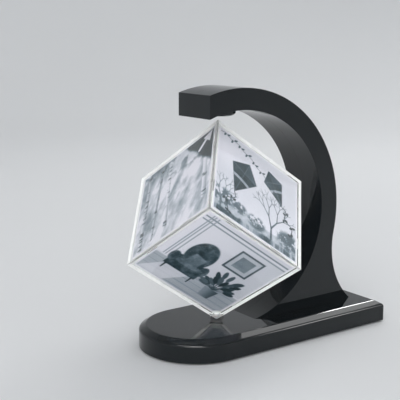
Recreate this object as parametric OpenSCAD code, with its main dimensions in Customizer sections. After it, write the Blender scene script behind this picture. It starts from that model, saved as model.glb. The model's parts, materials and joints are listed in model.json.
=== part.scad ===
/* [Cube] */
// Outer edge of the picture cube
cube_edge = 88; // [84:1:92]
// Thickness of each clear cover
cover_t = 2; // [1.6:0.1:2.4]
// Thickness of a photo card
card_t = 0.3; // [0.2:0.05:0.4]
// Clear rim from the edge of the cube to the edge of a card
card_margin = 3.6; // [3.4:0.1:6]
// Wall of the white core
core_wall = 2; // [1.8:0.1:3]
// Length of the snap tongues on a cover
tongue_len = 3.4; // [2.8:0.1:3.6]
// Width of the snap tongues on a cover
tongue_w = 10; // [6:1:14]
// Turn of the cube about its upright diagonal at rest, in degrees
cube_turn = -131; // [-180:1:180]

/* [Corner magnets] */
// Radius of the rod magnet in the top corner
top_magnet_r = 3; // [2:0.5:4]
// Length of the rod magnet in the top corner
top_magnet_len = 10; // [6:1:12]
// Radius of the disc magnet in the lower corner
drive_magnet_r = 6; // [4:0.5:7]
// Thickness of the disc magnet in the lower corner
drive_magnet_t = 5; // [3:0.5:6]
// Radius of the stem that holds the pivot tip
tip_stem_r = 2; // [1.5:0.1:2.4]
// Height of the pivot tip's head, from the sharp corner of the cube
tip_head_h = 4.05; // [3.9:0.05:4.6]
// Depth of the cube's sharp corner below the top of the base
tip_sink = 1.5; // [1.3:0.1:1.8]

/* [Arm] */
// Thickness of the arm between its inner and outer curves
arm_t = 16; // [14:0.5:20]
// Width of the arm across its flat faces
arm_w = 39; // [36:1:44]
// Wall of the arm's two shells
arm_wall = 2; // [1.6:0.2:2.6]
// Distance from the spin axis to the centre of the arm's curve
arm_offset = 7.4; // [5:0.2:10]
// How far the arm's inner curve dips below the top of the base
arm_dip = 1.3; // [0.8:0.1:2]
// Overhang of the arm's end past the spin axis
arm_overhang = 21.3; // [18:0.1:24]
// Radius of the flare where the arm meets the base
flare_r = 60; // [45:1:70]
// Drop from the centre of the arm's curve to the centre of the flare
flare_drop = 33.2; // [30:0.2:36]
// Radius of the locating pins between the shells
locate_r = 1.4; // [1:0.1:1.6]

/* [Magnet boss] */
// Radius of the round boss under the arm
boss_r = 13; // [11.5:0.5:14]
// Drop of the boss below the arm's inner curve, at the spin axis
boss_drop = 4.2; // [3:0.1:6]
// Size of the slope round the boss's lower rim
boss_slope = 1.6; // [0.8:0.1:1.8]
// Gap between the top corner of the cube and the boss
top_gap = 3.2; // [3:0.1:5]
// Radius of the disc magnet in the arm
arm_magnet_r = 7.5; // [5:0.5:8]
// Thickness of the disc magnet in the arm
arm_magnet_t = 6; // [4:0.5:6.5]

/* [Base] */
// Width of the base, which is also the diameter of its round nose
base_w = 86; // [80:1:96]
// Height of the base's body, without the feet
base_h = 16.5; // [16.5:0.5:22]
// Reach of the nose past the spin axis
nose_reach = 62; // [56:1:66]
// Length of base that shows past the foot of the arm
end_margin = 16.2; // [12:0.2:24]
// Width of the bevel round the top of the base, seen from above
bevel_w = 5.6; // [3:0.2:8]
// Height of the bevel round the top of the base
bevel_h = 3.3; // [2:0.1:5]
// Side wall of the base's shell
base_wall = 2.2; // [1.8:0.1:3]
// Top wall of the base's shell
top_wall = 2.5; // [2.4:0.1:2.6]
// Thickness of the bottom plate
plate_t = 2.5; // [2.4:0.1:3]
// Radius of the rubber feet
foot_r = 5; // [4:0.5:6]
// Height of the feet below the base
foot_h = 1; // [0.8:0.1:2]

/* [Drive] */
// Radius of the bearing cup's body
cup_r = 5; // [4.5:0.1:6]
// Radius of the bearing cup's dish
dish_r = 3; // [2.8:0.1:3.6]
// Radius of the coil's flanges
coil_r = 12; // [10:0.5:14]
// Height of the coil's bobbin
coil_h = 8; // [6:0.5:8]
// Radius of the coil's iron core
coil_core_r = 2.5; // [2:0.1:3.5]
// Width of the circuit board
board_w = 34; // [32:1:40]
// Length of the circuit board, from the spin axis
board_end = 53; // [51:1:54]
// Travel of the power switch
switch_travel = 3; // [2:0.5:4]

/* [Batteries] */
// Radius of a battery cell
cell_r = 5.25; // [5:0.05:5.25]
// Length of a battery cell, with its contact nub
cell_len = 44.5; // [43:0.5:44.5]
// Distance from the spin axis to the battery compartment
bay_start = 56.5; // [56:0.5:58]
// Width of the battery door
door_w = 27; // [26:0.5:30]
// Thickness of the battery door
door_t = 1.5; // [1.2:0.1:1.6]
// Travel of the battery door
door_travel = 4; // [3:0.5:5]

/* [Hidden] */
$fn = 96;

// Clearances between pieces, and the overlap that joins shapes of one piece
fit_gap = 0.05;
slide_gap = 0.3;
card_gap = 0.1;
mitre_gap = 0.1;
plate_gap = 0.15;
lap = 0.5;
far = 300;

// Heights of the base, from the surface it stands on
base_z = foot_h;
base_top = base_z + base_h;
ceiling = base_top - top_wall;
plate_top = base_z + plate_t;

// The cube stands on one corner, so its long diagonal is upright
cube_half = cube_edge / 2;
diagonal = cube_edge * sqrt(3);
corner_ring_r = cube_edge * sqrt(2 / 3);
corner_z = base_top - tip_sink;
top_corner_z = corner_z + diagonal;
cube_mid = corner_z + diagonal / 2;
diagonal_tilt = atan(sqrt(2));
// Height above a corner over which a face moves one unit away from the upright axis
face_slope = 1 / sqrt(2);
core_half = cube_half - cover_t - card_gap - card_t;
card_half = cube_half - card_margin;
core_corner = (cube_half - core_half) * sqrt(3);
function height_for(radius) = core_corner + radius / face_slope;

// Tongues of a cover lie in shallow seats on the neighbouring sides of the core
tongue_t = 0.8;
tongue_gap = 0.2;
tongue_out = core_half - tongue_gap;
tongue_shift = 20;
tongue_end = cube_half - cover_t - tongue_len;
corner_web = 0.9;
// Screws that hold the core's lid to posts inside the core
lid_screw_r = 1;
lid_thread = 5;
lid_head_r = 2;
lid_head_h = 1;
post_r = 4;
post_len = 12;
post_inset = 3;
lid_screw_at = core_half - core_wall - post_inset;
// Solid corners of the core, which hold the magnets
block_cap = 2;
shoulder_wall = 0.8;
top_magnet_down = height_for(top_magnet_r + corner_web);
top_block = top_magnet_down + top_magnet_len + block_cap;
tip_shoulder = height_for(tip_stem_r + shoulder_wall);
drive_magnet_up = height_for(drive_magnet_r + corner_web);
drive_block = drive_magnet_up + drive_magnet_t + lap;
// Lower covers stop above the pivot tip, with a thin lip outside it so that they can be pulled off
tip_gap = 0.25;
cover_cut = tip_head_h + tip_gap;
lip_t = 0.4;
lip_rise = cover_t * cos(diagonal_tilt) + tip_gap;
lip_reach = 4 * tip_head_h;
dish_depth = 1.2;
nib_r = 0.8;
nib_z = tip_sink - dish_depth + fit_gap + nib_r;
tip_flat = 0.75;

// The arm is part of a ring, so its radius follows the room that the cube needs
boss_z = top_corner_z + top_gap;
arm_room = boss_z + boss_drop - base_top + arm_dip;
arm_in_r = (arm_room * arm_room + arm_offset * arm_offset) / (2 * arm_room);
arm_out_r = arm_in_r + arm_t;
ring_z = arm_in_r - arm_dip;
flare_reach = arm_out_r + flare_r;
flare_x = arm_offset + sqrt(flare_reach * flare_reach - flare_drop * flare_drop);
flare_z = ring_z - flare_drop;
foot_end = flare_x - sqrt(flare_r * flare_r - flare_z * flare_z);
mid_r = arm_in_r + arm_t / 2;
locate_angles = [80, 42, 4, -34];
locate_len = 5;
locate_boss_r = 3.2;
// Height at which the flare touches the arm's outer curve, for a shape inset by the wall or not
function touch_z(inset) = flare_z + (flare_r + inset) * flare_drop / flare_reach;
near_screw_x = 50;
far_screw_inset = 16;
arm_screw_x = [near_screw_x, foot_end - far_screw_inset];
arm_screw_y = 14.6;
arm_screw_r = 1.5;
arm_screw_len = 7;
arm_head_r = 2.6;
arm_head_h = 1.8;
arm_boss_r = 2.8;
arm_boss_cap = 2;
spigot_wall = 2;
spigot_r = arm_magnet_r + spigot_wall;
spigot_over = 1;
spigot_bore = 3 * boss_drop;
boss_floor = 1.5;

// Lengths along the base, from the spin axis
axis_to_end = foot_end + end_margin;
nose_c = nose_reach - base_w / 2;
corner_reach = corner_ring_r * max([for (k = [0:5]) cos(cube_turn + 60 * k)]);
spin_x = (corner_reach - axis_to_end) / 2;

// Fasteners and feet of the base
screw_r = 1.4;
screw_head_r = 2.8;
screw_head_h = 1.2;
screw_len = 6.6;
screw_boss_r = 3.6;
screw_sink = 0.2;
recess_rim = 1.2;
recess_w = 0.6;
recess_depth = 0.6;
nose_screw_inset = 14;
side_screw_x = 30;
side_screw_inset = 9;
end_screw_inset = 12;
base_screw_at = [[nose_screw_inset - nose_reach, 0], [side_screw_x, base_w / 2 - side_screw_inset],
    [side_screw_x, side_screw_inset - base_w / 2], [axis_to_end - end_screw_inset, 0]];
nose_foot_out = 16;
nose_foot_inset = 19;
end_foot_inset = 15;
end_foot_side_inset = 13;
nose_foot_x = -nose_c - nose_foot_out;
nose_foot_y = base_w / 2 - nose_foot_inset;
end_foot_x = axis_to_end - end_foot_inset;
end_foot_y = base_w / 2 - end_foot_side_inset;
foot_at = [[nose_foot_x, nose_foot_y], [nose_foot_x, -nose_foot_y], [end_foot_x, end_foot_y],
    [end_foot_x, -end_foot_y]];
foot_set = 1;

// Cells lie side by side along the base
cell_gap = 0.3;
cell_top_gap = 0.45;
cell_side_gap = 0.25;
cell_pitch = 2 * cell_r + cell_gap;
cell_z = ceiling - cell_top_gap - cell_r;
nub_r = 1.9;
nub_len = 1;
contact_room = 3;
contact_t = 0.4;
bay_wall = 1;
bay_len = cell_len + 2 * contact_room;
bay_end = bay_start + bay_len;
bay_half = cell_pitch / 2 + cell_r + cell_side_gap;
bay_wall_over = 3.2;
bay_wall_top = cell_z + bay_wall_over;
contact_w = 8;
contact_lift = 1.2;
contact_h = bay_wall_top + contact_t - plate_top - contact_lift;
lead_w = 2;
dimple_r = 2;
dimple_tip_r = 1;
door_start = bay_start - 2.5;
door_end = bay_end + 1.5;
door_cut = door_t + 0.1;
rib_count = 5;
rib_pitch = 2;
rib_w = 0.8;
rib_len = 12;
rib_t = 0.4;
rib_inset = 6;
ledge = 1;
door_lip = 2.5;
bay_mouth = door_start + ledge + door_lip;
tab_w = 3.6;
tab_t = 0.9;
tab_post = 1;
tab_lift = 0.1;

// Circuit board, coil and switch
board_z = base_z + 6.5;
board_t = 1.6;
board_start = 4;
board_gap = 0.6;
coil_drop = 1.5;
coil_z = ceiling - coil_drop - coil_h;
coil_pad_inset = 1;
winding_inset = 0.7;
core_over = 0.3;
flange_t = 1;
hub_wall = 2;
cup_flange_t = 0.7;
cup_flange_w = 1.5;
switch_x = 40;
switch_size = [10, 5, board_z - plate_top];
knob_l = 3;
knob_w = 2.4;
knob_in = 1.7;
knob_out = 0.4;
groove_pitch = 0.9;
groove_w = 0.4;
groove_t = 0.3;
near_post_x = 20;
far_post_x = board_end - 4;
post_y = board_w / 2 - 3;
post_at = [[near_post_x, post_y], [near_post_x, -post_y], [far_post_x, post_y], [far_post_x, -post_y]];
board_post_r = 2.4;
peg_r = 1;
peg_over = 0.6;
lead_x = board_end - 3;
chip_at = [28, 2];
chip_size = [6, 5, 1.5];
capacitor_at = [26, -8];
capacitor_r = 3.2;
capacitor_h = 3.8;

// Colours
black_gloss = [0.07, 0.07, 0.08];
dark_grey = [0.2, 0.2, 0.21];
clear = [0.85, 0.93, 0.95, 0.35];
white = [0.93, 0.93, 0.92];
steel = [0.72, 0.73, 0.75];
copper = [0.78, 0.45, 0.26];
board_green = [0.1, 0.4, 0.25];

// Places a shape by the spin axis, at a height above the surface that the base stands on
module at(x = 0, y = 0, z = 0) translate([spin_x + x, y, z]) children();

// Turns a cube that stands flat until its long diagonal is upright on the spin axis
module in_cube() at(0, 0, cube_mid) rotate([0, 0, cube_turn])
    rotate([0, -diagonal_tilt, 0]) rotate([0, 0, -45]) children();

// Faces 0 to 2 meet at the top corner and faces 3 to 5 at the lower one
module on_face(i) rotate(a = 120 * (i % 3), v = [1, 1, 1])
    rotate(a = i < 3 ? 0 : 180, v = [1, -1, 0]) children();

module box(x0, x1, half_w, z0, z1) at(x0, -half_w, z0) cube([x1 - x0, 2 * half_w, z1 - z0]);

module disc(radius, z0, z1) at(0, 0, z0) cylinder(r = radius, h = z1 - z0);

// A screw with a cross recess, from the outside of its head inwards
module screw(shank_r, shank_len, head_r, head_h) difference() {
    union() {
        cylinder(r = head_r, h = head_h);
        cylinder(r = shank_r, h = head_h + shank_len);
    }
    for (turn = [0, 90]) rotate([0, 0, turn]) translate([recess_rim - head_r, -recess_w / 2, -lap])
        cube([2 * (head_r - recess_rim), recess_w, recess_depth + lap]);
}

module base_outline(inset) {
    half_w = base_w / 2 - inset;
    translate([-nose_c, 0]) circle(r = half_w);
    translate([-nose_c, -half_w]) square([nose_c + axis_to_end - inset, 2 * half_w]);
}

// The body of the base, with the slope round its top
module base_body(inset, z0, z1) at(-nose_c, 0, z0) {
    half_w = base_w / 2 - inset;
    reach = nose_c + axis_to_end - inset;
    full_h = z1 - z0;
    side_h = full_h - bevel_h;
    rotate_extrude() polygon([[0, 0], [half_w, 0], [half_w, side_h], [half_w - bevel_w, full_h], [0, full_h]]);
    intersection() {
        rotate([90, 0, 90]) linear_extrude(reach) polygon([[-half_w, 0], [half_w, 0], [half_w, side_h],
            [half_w - bevel_w, full_h], [bevel_w - half_w, full_h], [-half_w, side_h]]);
        translate([0, half_w, 0]) rotate([90, 0, 0]) linear_extrude(2 * half_w)
            polygon([[0, 0], [reach, 0], [reach, side_h], [reach - bevel_w, full_h], [0, full_h]]);
    }
}

module base_shell() color(black_gloss) difference() {
    union() {
        difference() {
            base_body(0, base_z, base_top);
            base_body(base_wall, base_z - lap, ceiling);
        }
        for (p = base_screw_at) at(p[0], p[1], plate_top)
            cylinder(r = screw_boss_r, h = ceiling + lap - plate_top);
    }
    disc(cup_r + fit_gap, base_z, base_top + lap);
    for (p = base_screw_at) at(p[0], p[1], plate_top - lap)
        cylinder(r = screw_r + fit_gap, h = screw_len + 2 * lap);
    for (x = arm_screw_x, side = [-1, 1]) at(x, side * arm_screw_y, base_z)
        cylinder(r = arm_screw_r + fit_gap, h = base_h + lap);
}

module base_plate() color(dark_grey) difference() {
    union() {
        at(0, 0, base_z) linear_extrude(plate_t) base_outline(base_wall + plate_gap);
        for (p = post_at) at(p[0], p[1], plate_top - lap) {
            cylinder(r = board_post_r, h = board_z - plate_top + lap);
            cylinder(r = peg_r, h = board_z - plate_top + board_t + lap + peg_over);
        }
        disc(coil_r - coil_pad_inset, plate_top - lap, coil_z);
        difference() {
            box(bay_start - bay_wall, bay_end + bay_wall, bay_half + bay_wall,
                plate_top - lap, bay_wall_top);
            box(bay_start, bay_end, bay_half, base_z, ceiling);
        }
    }
    for (p = base_screw_at) at(p[0], p[1], base_z - lap) {
        cylinder(r = screw_r + fit_gap, h = plate_t + 2 * lap);
        cylinder(r = screw_head_r + plate_gap, h = lap + screw_sink + screw_head_h);
    }
    for (p = foot_at) at(p[0], p[1], base_z - lap) cylinder(r = foot_r + fit_gap, h = foot_set + lap);
    box(bay_mouth, door_end - ledge - door_lip, bay_half - ledge / 2, base_z - lap, plate_top + lap);
    box(door_start - slide_gap, door_end + slide_gap + door_travel, door_w / 2 + slide_gap,
        base_z - lap, base_z + door_cut);
    box(door_start, bay_start + lap, tab_w / 2 + slide_gap,
        plate_top, plate_top + tab_lift + tab_t + slide_gap);
    knob_slot(base_z - lap, plate_top + lap);
}

module knob_slot(z0, z1) box(switch_x - knob_l / 2 - slide_gap,
    switch_x + knob_l / 2 + slide_gap + switch_travel, knob_w / 2 + slide_gap, z0, z1);

module bearing_cup() color(dark_grey) difference() {
    union() {
        disc(cup_r, ceiling - cup_flange_t, base_top);
        disc(cup_r + cup_flange_w, ceiling - cup_flange_t, ceiling);
    }
    disc(dish_r, base_top - dish_depth, base_top + lap);
}

module coil_bobbin() color(white) difference() {
    union() {
        disc(coil_r, coil_z, coil_z + flange_t);
        disc(coil_r, coil_z + coil_h - flange_t, coil_z + coil_h);
        disc(coil_core_r + hub_wall, coil_z, coil_z + coil_h);
    }
    disc(coil_core_r + fit_gap, coil_z - lap, coil_z + coil_h + lap);
}

module coil_winding() color(copper) difference() {
    disc(coil_r - winding_inset, coil_z + flange_t + fit_gap, coil_z + coil_h - flange_t - fit_gap);
    disc(coil_core_r + hub_wall + fit_gap, coil_z, coil_z + coil_h);
}

module coil_core() color(steel) disc(coil_core_r, coil_z, coil_z + coil_h + core_over);

module circuit_board() color(board_green) difference() {
    box(board_start, board_end, board_w / 2, board_z, board_z + board_t);
    disc(coil_r + board_gap, board_z - lap, board_z + board_t + lap);
    for (p = post_at) at(p[0], p[1], board_z - lap) cylinder(r = peg_r + fit_gap, h = board_t + 2 * lap);
}

module driver_chip() color(dark_grey) at(chip_at[0], chip_at[1], board_z + board_t) cube(chip_size);

module capacitor() color(dark_grey) at(capacitor_at[0], capacitor_at[1], board_z + board_t)
    cylinder(r = capacitor_r, h = capacitor_h);

module switch_body() color(steel) difference() {
    at(switch_x + switch_travel / 2 - switch_size[0] / 2, -switch_size[1] / 2, plate_top) cube(switch_size);
    knob_slot(plate_top - lap, plate_top + knob_in + slide_gap);
}

module switch_knob() color(black_gloss) difference() {
    box(switch_x - knob_l / 2, switch_x + knob_l / 2, knob_w / 2, base_z - knob_out, plate_top + knob_in);
    for (k = [-1:1]) let (x = switch_x + k * groove_pitch)
        box(x - groove_w / 2, x + groove_w / 2, knob_w,
            base_z - knob_out - lap, base_z - knob_out + groove_t);
}

// Cells, one turned end for end
module battery(side) {
    body_len = cell_len - nub_len;
    at(bay_start + contact_room + cell_len / 2, side * cell_pitch / 2, cell_z) rotate([0, side * 90, 0])
        translate([0, 0, -cell_len / 2]) {
            color([0.25, 0.3, 0.36]) cylinder(r = cell_r, h = body_len);
            color(steel) cylinder(r = nub_r, h = cell_len);
        }
}

module battery_1() battery(1);

module battery_2() battery(-1);

// An upright plate that stands against the inside of an end wall
module contact_face(x, half_w, y) at(x, y - half_w, plate_top + contact_lift)
    cube([contact_t, 2 * half_w, contact_h]);

// A lead over the wall and down to the board
module contact_lead(y) {
    at(lead_x, y - lead_w / 2, bay_wall_top) cube([bay_start + contact_t - lead_x, lead_w, contact_t]);
    at(lead_x, y - lead_w / 2, board_z + board_t)
        cube([contact_t, lead_w, bay_wall_top + contact_t - board_z - board_t]);
}

module contact_dimple(x, y, side) at(x, y, cell_z) rotate([0, side * 90, 0])
    cylinder(r1 = dimple_r, r2 = dimple_tip_r, h = contact_room - contact_t - fit_gap);

module contact_plus() color(steel) {
    contact_face(bay_start, contact_w / 2, -cell_pitch / 2);
    contact_lead(-cell_pitch / 2);
    contact_dimple(bay_start + contact_t, -cell_pitch / 2, 1);
}

module contact_minus() color(steel) {
    contact_face(bay_start, contact_w / 2, cell_pitch / 2);
    contact_lead(cell_pitch / 2);
    contact_dimple(bay_start + contact_t, cell_pitch / 2, 1);
}

module bridge_contact() color(steel) {
    contact_face(bay_end - contact_t, cell_pitch / 2 + contact_w / 2, 0);
    for (side = [-1, 1]) contact_dimple(bay_end - contact_t, side * cell_pitch / 2, -1);
}

module battery_door() color(dark_grey) {
    difference() {
        box(door_start, door_end, door_w / 2, base_z, base_z + door_t);
        for (k = [1:rib_count]) let (x = door_end - rib_inset - rib_pitch * k)
            box(x, x + rib_w, rib_len / 2, base_z - lap, base_z + rib_t);
    }
    box(bay_mouth + slide_gap, bay_mouth + slide_gap + tab_post, tab_w / 2, base_z + door_t - lap,
        plate_top + tab_lift + tab_t);
    box(door_start + ledge, bay_mouth + slide_gap + tab_post, tab_w / 2, plate_top + tab_lift,
        plate_top + tab_lift + tab_t);
}

module foot(i) color(dark_grey) at(foot_at[i][0], foot_at[i][1], 0)
    cylinder(r = foot_r, h = foot_h + foot_set);

module base_screws() color(steel) for (p = base_screw_at) at(p[0], p[1], base_z + screw_sink)
    screw(screw_r, screw_len, screw_head_r, screw_head_h);

module arm_screws() color(steel) for (x = arm_screw_x, side = [-1, 1])
    at(x, side * arm_screw_y, ceiling - arm_head_h)
        screw(arm_screw_r, top_wall + arm_screw_len, arm_head_r, arm_head_h);

// Arm, drawn in its own upright plane with the spin axis at zero and the base's top at zero

module arm_profile(inset) difference() {
    union() {
        translate([arm_offset, ring_z]) circle(r = arm_out_r - inset, $fn = 180);
        difference() {
            translate([arm_offset, inset]) square([foot_end - arm_offset, touch_z(inset) - inset]);
            translate([flare_x, flare_z]) circle(r = flare_r + inset, $fn = 180);
        }
    }
    translate([arm_offset, ring_z]) circle(r = arm_in_r + inset, $fn = 180);
    translate([-far, -far]) square([far + arm_offset, far + ring_z]);
    translate([-far, -far]) square([far - arm_overhang + inset, 2 * far]);
    translate([-far, -far]) square([2 * far, far + inset]);
}

// Extrudes a shape of the arm's plane across the base, from y0 to y1
module across(y0, y1) at(0, y1, base_top) rotate([90, 0, 0]) linear_extrude(y1 - y0) children();

// The same, for one side, from a distance off the middle to a distance short of the flat face
module across_half(side, from_middle, from_face) mirror([0, side > 0 ? 0 : 1, 0])
    across(from_middle, arm_w / 2 - from_face) children();

module locate_places() for (a = locate_angles)
    translate([arm_offset + mid_r * cos(a), ring_z + mid_r * sin(a)]) children();

// Half of the arm, on the side that is given
module arm_half(side) difference() {
    union() {
        difference() {
            across_half(side, 0, 0) arm_profile(0);
            across_half(side, -lap, arm_wall) arm_profile(arm_wall);
        }
        across_half(side, 0, lap) locate_places() circle(r = locate_boss_r);
        intersection() {
            across_half(side, 0, 0) arm_profile(0);
            for (x = arm_screw_x) at(x, side * arm_screw_y, base_top)
                cylinder(r = arm_boss_r, h = arm_screw_len + arm_boss_cap);
        }
    }
    for (x = arm_screw_x) at(x, side * arm_screw_y, base_top - lap)
        cylinder(r = arm_screw_r + fit_gap, h = arm_screw_len + 2 * lap);
    disc(spigot_r + fit_gap, boss_z, boss_z + spigot_bore);
}

module arm_front_shell() color(black_gloss) {
    arm_half(-1);
    across(-lap, locate_len) locate_places() circle(r = locate_r);
}

module arm_rear_shell() color(black_gloss) difference() {
    arm_half(1);
    across(-lap, locate_len + lap) locate_places() circle(r = locate_r + fit_gap);
}

module magnet_boss() color(black_gloss) difference() {
    union() {
        intersection() {
            union() {
                at(0, 0, boss_z) cylinder(r1 = boss_r - boss_slope, r2 = boss_r, h = boss_slope);
                disc(boss_r, boss_z + boss_slope, boss_z + spigot_bore);
            }
            at(arm_offset, 0, base_top + ring_z) rotate([90, 0, 0])
                cylinder(r = arm_in_r - fit_gap, h = 4 * boss_r, center = true, $fn = 180);
        }
        disc(spigot_r, boss_z + boss_floor, boss_z + boss_floor + arm_magnet_t + spigot_over);
    }
    disc(arm_magnet_r + fit_gap, boss_z + boss_floor, boss_z + spigot_bore);
}

module arm_magnet() color(steel)
    disc(arm_magnet_r, boss_z + boss_floor, boss_z + boss_floor + arm_magnet_t);

// Cube

// The four tongues of a cover turn round its face, so those of two covers never meet at an edge
module tongues(grow) for (turn = [0:3]) rotate([0, 0, 90 * turn])
    translate([tongue_out - tongue_t - grow, tongue_shift - tongue_w / 2 - grow, tongue_end - grow])
        cube([tongue_t + 2 * grow, tongue_w + 2 * grow, cube_half - cover_t + lap - tongue_end + 2 * grow]);

module mitred_panel() {
    z_in = cube_half - cover_t;
    section = [[mitre_gap - z_in, z_in], [z_in - mitre_gap, z_in], [cube_half - mitre_gap, cube_half],
        [mitre_gap - cube_half, cube_half]];
    intersection() {
        rotate([90, 0, 0]) linear_extrude(cube_edge, center = true) polygon(section);
        rotate([90, 0, 90]) linear_extrude(cube_edge, center = true) polygon(section);
    }
}

module cover(i) color(clear) difference() {
    in_cube() on_face(i) {
        mitred_panel();
        tongues(0);
    }
    disc(lip_reach, base_z, corner_z + cover_cut);
    intersection() {
        disc(lip_reach, base_z, corner_z + cover_cut + lip_rise);
        in_cube() cube(2 * (cube_half - lip_t), center = true);
    }
    tip_neck(slide_gap);
}

module card(i) color(white) difference() {
    in_cube() on_face(i) translate([-card_half, -card_half, core_half])
        cube([2 * card_half, 2 * card_half, card_t]);
    tip_neck(slide_gap);
}

// The stem of the pivot tip, which passes the lowest corners of the covers and cards
module tip_neck(grow) disc(tip_stem_r + grow,
    corner_z + tip_head_h - lap, corner_z + drive_magnet_up - corner_web - fit_gap);

module core_seats() in_cube() for (i = [0:5]) on_face(i) tongues(slide_gap);

module lid_screw_places() in_cube() for (turn = [0:3]) rotate([0, 0, 90 * turn])
    translate([lid_screw_at, 0, core_half]) children();

module core_box() color(white) difference() {
    union() {
        difference() {
            in_cube() cube(2 * core_half, center = true);
            difference() {
                in_cube() cube(2 * (core_half - core_wall), center = true);
                disc(cube_edge, base_z, corner_z + drive_block);
                disc(cube_edge, top_corner_z - top_block, top_corner_z);
            }
        }
        lid_screw_places() translate([0, 0, -core_wall - post_len]) cylinder(r = post_r, h = post_len);
    }
    in_cube() translate([-far / 2, -far / 2, core_half - core_wall]) cube([far, far, core_wall + lap]);
    lid_screw_places() translate([0, 0, -lid_head_h - core_wall - lid_thread])
        cylinder(r = lid_screw_r + fit_gap, h = lid_head_h + core_wall + lid_thread + lap);
    core_seats();
    disc(lip_reach, base_z, corner_z + tip_shoulder);
    disc(tip_stem_r + fit_gap, base_z, corner_z + drive_magnet_up - corner_web);
    disc(drive_magnet_r + fit_gap, corner_z + drive_magnet_up, cube_mid);
    top_magnet_bore();
}

module core_lid() color(white) difference() {
    intersection() {
        in_cube() cube(2 * core_half, center = true);
        in_cube() translate([-far / 2, -far / 2, core_half - core_wall]) cube([far, far, core_wall + lap]);
    }
    lid_screw_places() {
        translate([0, 0, -core_wall - lap]) cylinder(r = lid_screw_r + fit_gap, h = core_wall + 2 * lap);
        translate([0, 0, -lid_head_h]) cylinder(r = lid_head_r + fit_gap, h = lid_head_h + lap);
    }
    core_seats();
    top_magnet_bore();
}

// The rod magnet passes through the core's lid and box
module top_magnet_bore() disc(top_magnet_r + fit_gap, cube_mid, top_corner_z - top_magnet_down);

module core_screws() color(steel) lid_screw_places() mirror([0, 0, 1]) translate([0, 0, fit_gap])
    screw(lid_screw_r, core_wall + lid_thread - lap, lid_head_r, lid_head_h - fit_gap);

module top_magnet() color(steel)
    disc(top_magnet_r, top_corner_z - top_magnet_down - top_magnet_len, top_corner_z - top_magnet_down);

module drive_magnet() color(steel)
    disc(drive_magnet_r, corner_z + drive_magnet_up, corner_z + drive_magnet_up + drive_magnet_t);

module pivot_tip() color(white) {
    intersection() {
        in_cube() cube(cube_edge, center = true);
        disc(lip_reach, corner_z + tip_flat, corner_z + tip_head_h);
    }
    intersection() {
        in_cube() cube(2 * core_half, center = true);
        disc(lip_reach, corner_z, corner_z + tip_shoulder);
    }
    tip_neck(0);
    at(0, 0, corner_z + nib_z) sphere(r = nib_r);
}

base_shell();
base_plate();
bearing_cup();
coil_bobbin();
coil_winding();
coil_core();
circuit_board();
driver_chip();
capacitor();
switch_body();
switch_knob();
battery_1();
battery_2();
contact_plus();
contact_minus();
bridge_contact();
battery_door();
foot(0);  // foot_1
foot(1);  // foot_2
foot(2);  // foot_3
foot(3);  // foot_4
base_screws();
arm_screws();
arm_front_shell();
arm_rear_shell();
magnet_boss();
arm_magnet();
core_box();
core_lid();
core_screws();
top_magnet();
drive_magnet();
pivot_tip();
cover(0);  // upper_cover_1
cover(1);  // upper_cover_2
cover(2);  // upper_cover_3
cover(3);  // lower_cover_1
cover(4);  // lower_cover_2
cover(5);  // lower_cover_3
card(0);  // upper_card_1
card(1);  // upper_card_2
card(2);  // upper_card_3
card(3);  // lower_card_1
card(4);  // lower_card_2
card(5);  // lower_card_3
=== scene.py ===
import json
import math
import bmesh
import bpy
import numpy as np
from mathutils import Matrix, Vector

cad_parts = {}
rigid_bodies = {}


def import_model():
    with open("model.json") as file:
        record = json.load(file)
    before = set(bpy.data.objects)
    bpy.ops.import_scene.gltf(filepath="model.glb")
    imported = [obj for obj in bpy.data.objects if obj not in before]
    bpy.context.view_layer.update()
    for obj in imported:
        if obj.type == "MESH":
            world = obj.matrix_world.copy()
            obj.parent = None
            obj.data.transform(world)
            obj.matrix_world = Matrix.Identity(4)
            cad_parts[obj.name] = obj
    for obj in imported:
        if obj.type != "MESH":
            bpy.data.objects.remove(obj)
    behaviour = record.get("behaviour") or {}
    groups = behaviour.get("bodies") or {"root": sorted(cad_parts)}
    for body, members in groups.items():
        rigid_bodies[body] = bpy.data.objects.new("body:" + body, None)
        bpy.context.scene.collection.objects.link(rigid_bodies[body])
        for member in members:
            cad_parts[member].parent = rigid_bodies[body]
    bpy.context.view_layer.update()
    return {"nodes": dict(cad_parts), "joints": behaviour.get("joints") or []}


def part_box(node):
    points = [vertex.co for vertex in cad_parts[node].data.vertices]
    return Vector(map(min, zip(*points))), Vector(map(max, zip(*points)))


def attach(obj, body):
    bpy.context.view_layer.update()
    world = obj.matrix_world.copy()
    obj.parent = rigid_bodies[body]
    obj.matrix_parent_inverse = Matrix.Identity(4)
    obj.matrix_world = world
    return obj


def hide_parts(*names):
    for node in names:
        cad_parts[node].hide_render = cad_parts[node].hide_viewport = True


# a new file opens with a cube, a lamp and a camera of its own
for thing in list(bpy.data.objects):
    bpy.data.objects.remove(thing)

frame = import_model()
nodes = frame["nodes"]
mm = 0.001

# the upright axis of the cube, and the outward direction of each of its faces
spinJoint = next(joint for joint in frame["joints"] if joint["name"] == "cube_spin")
spinX = spinJoint["pos_m"][0]
faceOut = {joint["child"]: Vector(joint["axis"]).normalized()
           for joint in frame["joints"] if "cover" in joint["child"]}


# Camera

camera = {
    "place": (-0.4253, -0.5253, 0.2355),
    "turn": (79.039, -0.143, -35.589),  # degrees about X, Y and Z
    "lens": 81.03,  # mm
    "sensor": 36,  # mm
    "nearest": 0.01,  # nothing closer than this shows, m
}


def setCamera():
    lens = bpy.data.cameras.new("camera")
    lens.lens = camera["lens"]
    lens.sensor_width = camera["sensor"]
    lens.clip_start = camera["nearest"]
    body = bpy.data.objects.new("camera", lens)
    body.location = camera["place"]
    body.rotation_euler = [math.radians(angle) for angle in camera["turn"]]
    bpy.context.scene.collection.objects.link(body)
    bpy.context.scene.camera = body


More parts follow.
